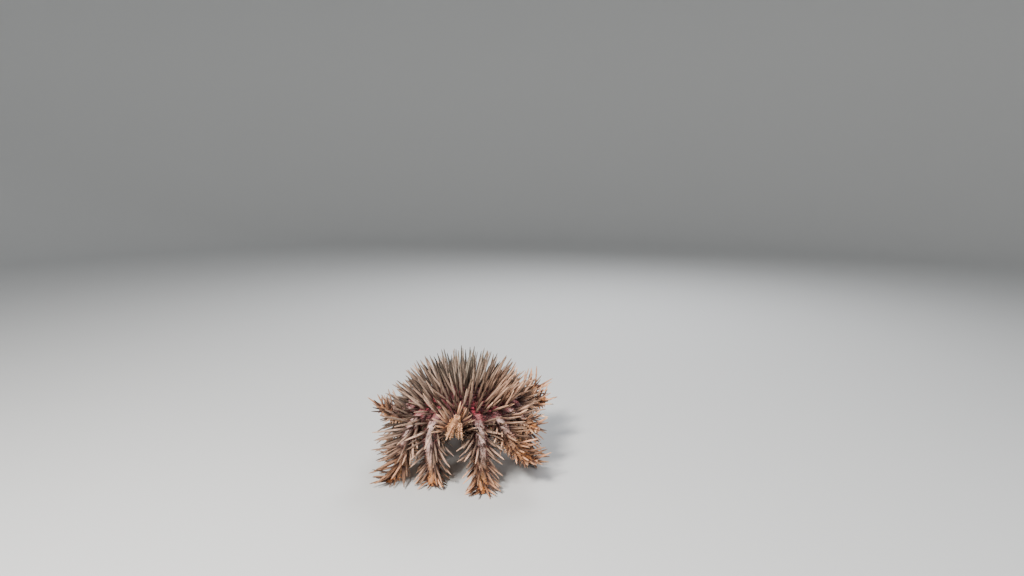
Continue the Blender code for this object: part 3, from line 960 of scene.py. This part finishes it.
def granules(points, normals, zones, drawn):
    """Low round grains that roughen the skin of the back, largest along the arms."""
    allowed = (zones.back > 0.1 - 0.6 * (zones.along > 0.75)) & (points[:, 2] > 0.003)
    kept = scatter(points, GRANULES, GRANULE_APART, drawn, allowed)
    where = Zones(*(field[kept] for field in zones))
    size = drawn.uniform(0.55, 1.15, len(kept)) * (0.75 + 0.25 * ease(-0.2, 0.1, where.along))
    roots = shaken(points, normals, kept, drawn) - normals[kept] * GRANULE_SINK
    tips = roots + normals[kept] * (GRANULE_SINK + GRANULE_HEIGHT * size)[:, None]
    tints = marking(where) * drawn.uniform(0.40, 1.25, len(kept))[:, None]
    return tufts_by_arm("granules", 2, where, roots, tips, GRANULE_RADIUS * size, GRANULE_RINGS,
                        drawn, 0.0, tints, tints * 1.1)


def papulae(points, normals, zones, drawn):
    """Small soft fingers that stand on the skin between the spines."""
    kept = scatter(points, PAPULAE, PAPULA_APART, drawn, zones.back > -0.1)
    ways = unit(normals[kept] + drawn.normal(0, 0.22, (len(kept), 3)))
    long = PAPULA_LENGTH * drawn.uniform(0.55, 1.15, len(kept))
    roots = shaken(points, normals, kept, drawn) - normals[kept] * PAPULA_SINK
    tips = roots + ways * (long + PAPULA_SINK)[:, None]
    tips[:, 2] = np.maximum(tips[:, 2], FLOOR_CLEARANCE)
    radii = PAPULA_RADIUS * drawn.uniform(0.75, 1.25, len(kept))
    where = Zones(*(field[kept] for field in zones))
    bright = drawn.uniform(0.75, 1.5, len(kept))
    tints = blend(marking(where), PAPULA_RED, 0.3 * (where.along < 0.5)) * bright[:, None]
    return tufts_by_arm("papulae", 3, where, roots, tips, radii, PAPULA_RINGS, drawn, 0.08,
                        tints, blend(tints, PAPULA_END, 0.3))


# Oral side

def groove_stations(path, pitch, length, first, last):
    count = max(1, round(length * (last - first) / pitch))
    return [station_at(path, first + (last - first) * (i + 0.5) / count) for i in range(count)]


def on_sole(station, side, across, inset, spread, forward):
    """Root, way and size of a short form on one side of an arm's groove."""
    size = taper(station.share)
    root = station.centre + station.aside * side * across * size
    root -= station.up * (VENTRAL_DEPTH - inset) * size
    way = -station.up + station.aside * side * spread + station.ahead * forward
    return root, way.normalized(), size


def arm_feet(arm, path, drawn):
    long = FOOT_LENGTH if arm.control is None else LIFTED_FOOT_LENGTH
    for station in groove_stations(path, FOOT_PITCH, arm.length, 0.02, GROOVE_LAST):
        for side in (-1, 1):
            root, way, size = on_sole(station, side, 0.0016, GROOVE_DEPTH * 0.9,
                                      drawn.uniform(0.05, 0.45), drawn.uniform(-0.25, 0.25))
            yield root, way, long * size


def arm_blunts(arm, path, drawn):
    for station in groove_stations(path, BLUNT_PITCH, arm.length, 0.0, 0.93):
        for side in (-1, 1):
            for across, spread, long in BLUNT_ROWS:
                root, way, size = on_sole(station, side, across, 0.0012, spread,
                                          drawn.uniform(-0.15, 0.3))
                yield root, way, long * size


def under_disc(arm, pitch, widest, rise, leans, long, drawn):
    """Roots, ways and lengths beside an arm's groove under the disc, from the mouth outward."""
    out = flat_way(math.radians(arm.heading))
    aside = UP.cross(out)
    radius = MOUTH_RADIUS + 0.003
    while radius < DISC_GROOVE_END:
        point = AXIS + out * radius + UP * SOLE_HEIGHT
        across = min(widest, radius * 0.19)
        for side in (-1, 1):
            way = -UP + aside * side * drawn.uniform(*leans)
            yield point + aside * side * across + UP * rise, way.normalized(), long
        radius += pitch


def mouth_spines():
    """Two rings of spines that close over the mouth."""
    for i in range(MOUTH_SPINES):
        turn = 2 * math.pi * i / MOUTH_SPINES
        out = flat_way(turn)
        radius = MOUTH_RADIUS * (0.62 if i % 2 else 0.92)
        root = AXIS + out * radius + UP * (SOLE_HEIGHT + 0.0035)
        yield root, (-UP - out * 0.55).normalized(), MOUTH_SPINE_LENGTH


def oral_rows(paths, drawn):
    """Roots, ways and lengths of tube feet and of the short spines beside the grooves."""
    feet, blunts = [], []
    for arm, path in zip(ARMS, paths):
        feet += arm_feet(arm, path, drawn)
        blunts += arm_blunts(arm, path, drawn)
        feet += under_disc(arm, FOOT_PITCH, 0.0011, 0.0018, (0.0, 0.35), DISC_FOOT_LENGTH, drawn)
        blunts += under_disc(arm, BLUNT_PITCH, 0.0036, 0.0012, (-0.1, 0.3), DISC_BLUNT_LENGTH,
                             drawn)
    blunts += mouth_spines()
    return feet, blunts


def oral_plates(points, normals, zones, drawn):
    """Short blunt spines scattered over the oral side, between the grooves."""
    allowed = (zones.back < -0.6) & (zones.groove < 0.08) & (zones.radius > MOUTH_RADIUS + 0.004)
    kept = scatter(points, ORAL_PLATES, ORAL_APART, drawn, allowed)
    ways = unit(normals[kept] + drawn.normal(0, 0.18, (len(kept), 3)))
    return [(Vector(points[index] - normals[index] * 0.0006), Vector(way), 0.0030)
            for index, way in zip(kept, ways)]


def end_rows(paths):
    """Roots, ways and lengths of the feelers that stand round the end of each arm."""
    for path in paths:
        end = path[-1]
        for i in range(END_FEELERS):
            turn = 2 * math.pi * i / END_FEELERS
            off = end.aside * math.cos(turn) + end.up * math.sin(turn)
            root = end.centre + off * 0.0016 - end.ahead * 0.0010
            yield root, (end.ahead + off * 0.45).normalized(), FEELER_LENGTH


def short_tufts(name, rows, radius, rings, sides, paths, drawn, colour):
    """Tube feet or blunt spines, kept clear of the floor."""
    kept = []
    for root, way, long in rows:
        tip = root + way * long * drawn.uniform(0.85, 1.1)
        if root.z < SHORT_ROOT_LOWEST:
            continue
        tip.z = max(tip.z, SHORT_TIP_LOWEST)
        kept.append((root, tip))
    roots, tips = (np.array(column) for column in zip(*kept))
    zones = zones_of(roots, unit(tips - roots), paths)
    tints = blend(colour, SPINE_ORANGE, ease(0.2, 0.8, zones.along) * 0.7)
    tints *= drawn.uniform(0.55, 1.2, len(kept))[:, None]
    radii = radius * drawn.uniform(0.85, 1.15, len(kept))
    return tufts(name, roots, tips, radii, rings, sides, drawn, 0.03, bake_place(zones),
                 tints, blend(tints, PALE_END, 0.35))


# Materials

Finish = namedtuple("Finish", "material nodes links shader")


def new_finish(name, roughness, specular, coat):
    material = bpy.data.materials.new(name)
    material.use_nodes = True
    nodes = material.node_tree.nodes
    shader = nodes["Principled BSDF"]
    set_inputs(shader, {"Roughness": roughness, "Specular IOR Level": specular,
                        "Coat Weight": coat, "Coat Roughness": 0.3})
    return Finish(material, nodes, material.node_tree.links, shader)


def pattern(finish, kind, **values):
    """A noise or cell pattern in the object's own coordinates."""
    place = finish.nodes.new("ShaderNodeTexCoord")
    made = finish.nodes.new(kind)
    set_inputs(made, values)
    finish.links.new(place.outputs["Object"], made.inputs["Vector"])
    return made.outputs[0]


def roughen(finish, scale, strength):
    """Fine bumps. Gives their noise back, for colour that follows it."""
    fine = pattern(finish, "ShaderNodeTexNoise", Scale=scale, Detail=5, Roughness=0.6)
    bump = finish.nodes.new("ShaderNodeBump")
    set_inputs(bump, {"Strength": strength, "Distance": 0.0006})
    finish.links.new(fine, bump.inputs["Height"])
    finish.links.new(bump.outputs["Normal"], finish.shader.inputs["Normal"])
    return fine


def mix_colour(finish, factor, first, second, kind="MIX"):
    mix = finish.nodes.new("ShaderNodeMix")
    mix.data_type = "RGBA"
    mix.blend_type = kind
    for socket, value in ((mix.inputs[0], factor), (mix.inputs[6], first), (mix.inputs[7], second)):
        if isinstance(value, bpy.types.NodeSocket):
            finish.links.new(value, socket)
        else:
            socket.default_value = (*value, 1.0) if isinstance(value, tuple) else value
    return mix.outputs[2]


def ramp(finish, value, stops):
    made = finish.nodes.new("ShaderNodeValToRGB")
    finish.links.new(value, made.inputs["Fac"])
    for element, (place, level) in zip(made.color_ramp.elements, stops):
        element.position = place
        element.color = (level, level, level, 1)
    return made.outputs["Color"]


def mottled(finish, value, stops):
    """The tint of the mesh, made darker and lighter by a pattern."""
    tint = finish.nodes.new("ShaderNodeVertexColor")
    tint.layer_name = "tint"
    shade = ramp(finish, value, stops)
    return mix_colour(finish, 1.0, tint.outputs["Color"], shade, "MULTIPLY")


def glow_through(finish, weight, radius, scale):
    set_inputs(finish.shader, {"Subsurface Weight": weight, "Subsurface Radius": radius,
                               "Subsurface Scale": scale})


def coloured(finish, colour):
    finish.links.new(colour, finish.shader.inputs["Base Color"])
    return finish.material


def skin_material():
    finish = new_finish("starfish_skin", 0.55, 0.35, 0.06)
    roughen(finish, 900, 0.6)
    blotch = pattern(finish, "ShaderNodeTexNoise", Scale=130, Detail=4)
    grains = pattern(finish, "ShaderNodeTexVoronoi", Scale=620)
    colour = mottled(finish, blotch, ((0.32, 0.42), (0.70, 1.35)))
    spots = ramp(finish, grains, ((0.10, 1.0), (0.42, 0.0)))
    paler = mix_colour(finish, 0.25, colour, GRAIN_PALE)
    colour = mix_colour(finish, spots, colour, paler)
    glow_through(finish, 0.08, (0.004, 0.0015, 0.001), 0.5)
    return coloured(finish, colour)


def spine_material():
    """Mottled, and dark at the foot of each spine: partly the spine's own red-brown base, partly
    painted shade where the spines crowd.
    """
    finish = new_finish("spine_skin", 0.58, 0.4, 0.08)
    roughen(finish, 1500, 0.5)
    mottle = pattern(finish, "ShaderNodeTexNoise", Scale=420, Detail=4)
    colour = mottled(finish, mottle, ((0.28, 0.68), (0.72, 1.25)))
    from_root = finish.nodes.new("ShaderNodeAttribute")
    from_root.attribute_name = "from_root"
    # Painted shade at the foot of each spine, over its own red-brown base.
    foot = ramp(finish, from_root.outputs["Fac"], ((0.09, 1.0), (0.30, 0.0)))
    colour = mix_colour(finish, foot, colour, SPINE_FOOT_TONE_AND_SHADE)
    glow_through(finish, 0.05, (0.003, 0.0015, 0.001), 0.4)
    return coloured(finish, colour)


def soft_material(name, roughness):
    finish = new_finish(name, roughness, 0.5, 0.15)
    fine = roughen(finish, 1800, 0.3)
    return coloured(finish, mottled(finish, fine, ((0.30, 0.72), (0.70, 1.25))))


def dress(obj, material):
    obj.data.materials.clear()
    obj.data.materials.append(material)
    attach(obj, "root")


# Stage

def make_floor():
    """A pale floor that curves up to a wall all round."""
    profile = [(FLOOR_RADIUS * i / 4, 0.0) for i in range(1, 5)]
    turns = (math.pi / 2 * i / BEND_STEPS for i in range(1, BEND_STEPS + 1))
    profile += [(FLOOR_RADIUS + WALL_BEND * math.sin(turn), WALL_BEND * (1 - math.cos(turn)))
                for turn in turns]
    profile.append((FLOOR_RADIUS + WALL_BEND, WALL_HEIGHT))
    bm = bmesh.new()
    rings = turned(bm, profile, Vector((0, 0, 0)))
    bm.faces.new(rings[0])
    mesh = bpy.data.meshes.new("floor")
    bm.to_mesh(mesh)
    bm.free()
    mesh.shade_smooth()
    floor = add_object("floor", mesh)
    finish = new_finish("floor", 0.85, 0.5, 0.0)
    set_inputs(finish.shader, {"Base Color": FLOOR_COLOUR})
    mesh.materials.append(finish.material)


def make_lights():
    for light in LIGHTS:
        lamp = bpy.data.lights.new(light.name, "AREA")
        lamp.shape = "DISK"
        lamp.size = light.size
        lamp.energy = light.power
        lamp.color = light.colour
        obj = add_object(light.name, lamp)
        obj.location = light.place
        aim = Vector(LIGHT_AIM) - Vector(light.place)
        obj.rotation_euler = aim.to_track_quat("-Z", "Y").to_euler()
    world = bpy.data.worlds.new("studio")
    world.use_nodes = True
    sky = world.node_tree.nodes["Background"]
    set_inputs(sky, {"Color": SKY_COLOUR, "Strength": SKY_STRENGTH})
    bpy.context.scene.world = world


def make_camera():
    data = bpy.data.cameras.new("camera")
    data.sensor_width = SENSOR
    data.lens = FOCAL_PIXELS / PHOTO_WIDTH * SENSOR
    data.clip_start = 0.01
    camera = add_object("camera", data)
    camera.location = AXIS + Vector(CAMERA_FROM_DISC)
    camera.rotation_euler = (math.pi / 2 + CAMERA_PITCH, 0, 0)
    bpy.context.scene.camera = camera


def main():
    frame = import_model()
    paths = [path_of(arm) for arm in ARMS]
    make_camera()
    make_floor()
    make_lights()

    skin_finish = skin_material()
    spine_finish = spine_material()
    papula_finish = soft_material("papula_skin", 0.45)
    blunt_finish = soft_material("oral_spine_skin", 0.5)
    foot_finish = soft_material("tube_foot_skin", 0.4)

    skin = make_skin(paths)
    points, normals = mesh_arrays(skin.data)
    zones = zones_of(points, normals, paths)
    add_tint(skin.data, marking(zones))
    dress(skin, skin_finish)
    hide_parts(*frame["nodes"])

    draw = random.Random(SEED)
    spines = []
    on_arms = [arm_spines(draw, arm, path, spines, paths) for arm, path in zip(ARMS, paths)]
    on_disc = dome_spines(draw, spines, paths, DISC_SPIRAL)
    on_disc += rim_spines(draw, spines, paths, RIM_FRINGE)
    more_on_disc = dome_spines(draw, spines, paths, EXTRA_SPIRAL)
    more_on_disc += dome_spines(draw, spines, paths, POLE_SPIRAL)
    more_on_disc += rim_spines(draw, spines, paths, EXTRA_FRINGE)
    more_on_arms = [extra_arm_spines(draw, arm, path, spines, paths)
                    for arm, path in zip(ARMS, paths)]

    drawn = np.random.default_rng(COAT_SEED)
    piece = spine_piece("disc_spines", on_disc, more_on_disc, paths, drawn)
    dress(piece, spine_finish)
    for number, (planted, more) in enumerate(zip(on_arms, more_on_arms), start=1):
        piece = spine_piece(f"arm_{number:02d}_spines", planted, more, paths, drawn)
        dress(piece, spine_finish)
    for piece in papulae(points, normals, zones, drawn):
        dress(piece, papula_finish)
    for piece in granules(points, normals, zones, drawn):
        dress(piece, skin_finish)
    feet, blunts = oral_rows(paths, drawn)
    blunts += oral_plates(points, normals, zones, drawn)
    piece = short_tufts("tube_feet", feet, SHORT_RADIUS, FOOT_RINGS, 8, paths, drawn, FOOT_TAN)
    dress(piece, foot_finish)
    piece = short_tufts("end_feelers", end_rows(paths), FEELER_RADIUS, BLUNT_RINGS, 10, paths,
                        drawn, FEELER_PALE)
    dress(piece, foot_finish)
    piece = short_tufts("oral_spines", blunts, SHORT_RADIUS, BLUNT_RINGS, 7, paths, drawn,
                        BLUNT_TAN)
    dress(piece, blunt_finish)


main()
